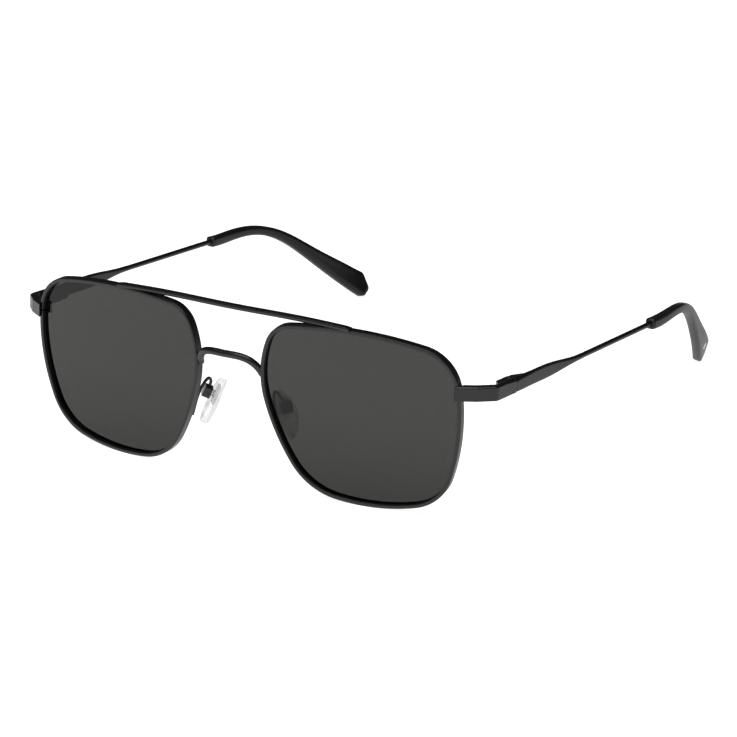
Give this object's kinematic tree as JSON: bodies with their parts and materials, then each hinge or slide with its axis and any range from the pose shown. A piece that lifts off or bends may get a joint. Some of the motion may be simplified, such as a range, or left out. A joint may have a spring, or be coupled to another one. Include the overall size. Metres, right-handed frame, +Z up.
{
  "type": "sunglasses",
  "caption": "Squared double-bridge aviator sunglasses: thin black metal frame, grey lenses, clear nose pads and temples that fold behind the lenses.",
  "frame": {"origin": "on the plane the sunglasses stand on with the temples open, below the middle of their bounding box: X = 0 is the mirror plane between the lenses", "axes": "+X to the wearer's left, -Y the way the wearer looks, +Z up"},
  "size_m": [0.1448, 0.164, 0.049],
  "materials": {
    "frame_black": "satin black coating over metal",
    "lens_grey": "polished grey tint",
    "screw_dark": "blackened steel",
    "tip_black": "polished black acetate",
    "inlay_pale": "satin",
    "core_grey": "moulded",
    "pad_clear": "clear silicone"
  },
  "bodies": {
    "front": {"nose_bridge": "frame_black", "brow_bar": "frame_black", "rim_left": "frame_black", "rim_right": "frame_black", "lens_left": "lens_grey", "lens_right": "lens_grey", "end_piece_left": "frame_black", "end_piece_right": "frame_black", "closing_block_upper_left": "frame_black", "closing_block_upper_right": "frame_black", "closing_block_lower_left": "frame_black", "closing_block_lower_right": "frame_black", "rim_screw_left": "screw_dark", "rim_screw_right": "screw_dark", "front_hinge_left": "frame_black", "front_hinge_right": "frame_black", "hinge_screw_left": "screw_dark", "hinge_screw_right": "screw_dark", "pad_arm_left": "frame_black", "pad_arm_right": "frame_black", "pad_box_left": "frame_black", "pad_box_right": "frame_black", "pad_screw_left": "screw_dark", "pad_screw_right": "screw_dark"},
    "temple_left": {"temple_left": "frame_black", "rear_hinge_left": "frame_black", "temple_tip_left": "tip_black", "tip_inlay_left": "inlay_pale"},
    "nose_pad_left": {"nose_pad_left": "pad_clear", "pad_core_left": "core_grey"},
    "temple_right": {"temple_right": "frame_black", "rear_hinge_right": "frame_black", "temple_tip_right": "tip_black", "tip_inlay_right": "inlay_pale"},
    "nose_pad_right": {"nose_pad_right": "pad_clear", "pad_core_right": "core_grey"}
  },
  "joints": [
    {"name": "temple_fold_left", "type": "hinge", "parent": "front", "child": "temple_left", "pos_m": [0.06966, -0.05682, 0.03422], "axis": [0, 0.0553, 0.9985], "range_deg": [0, 84]},
    {"name": "pad_rock_left", "type": "hinge", "parent": "front", "child": "nose_pad_left", "pos_m": [0.01205, -0.07054, 0.02105], "axis": [-0.5999, -0.7986, -0.0486], "range_deg": [-8, 8]},
    {"name": "temple_fold_right", "type": "hinge", "parent": "front", "child": "temple_right", "pos_m": [-0.06966, -0.05682, 0.03422], "axis": [0, -0.0553, -0.9985], "range_deg": [0, 88]},
    {"name": "pad_rock_right", "type": "hinge", "parent": "front", "child": "nose_pad_right", "pos_m": [-0.01205, -0.07054, 0.02105], "axis": [0.5999, -0.7986, -0.0486], "range_deg": [-8, 8]}
  ]
}
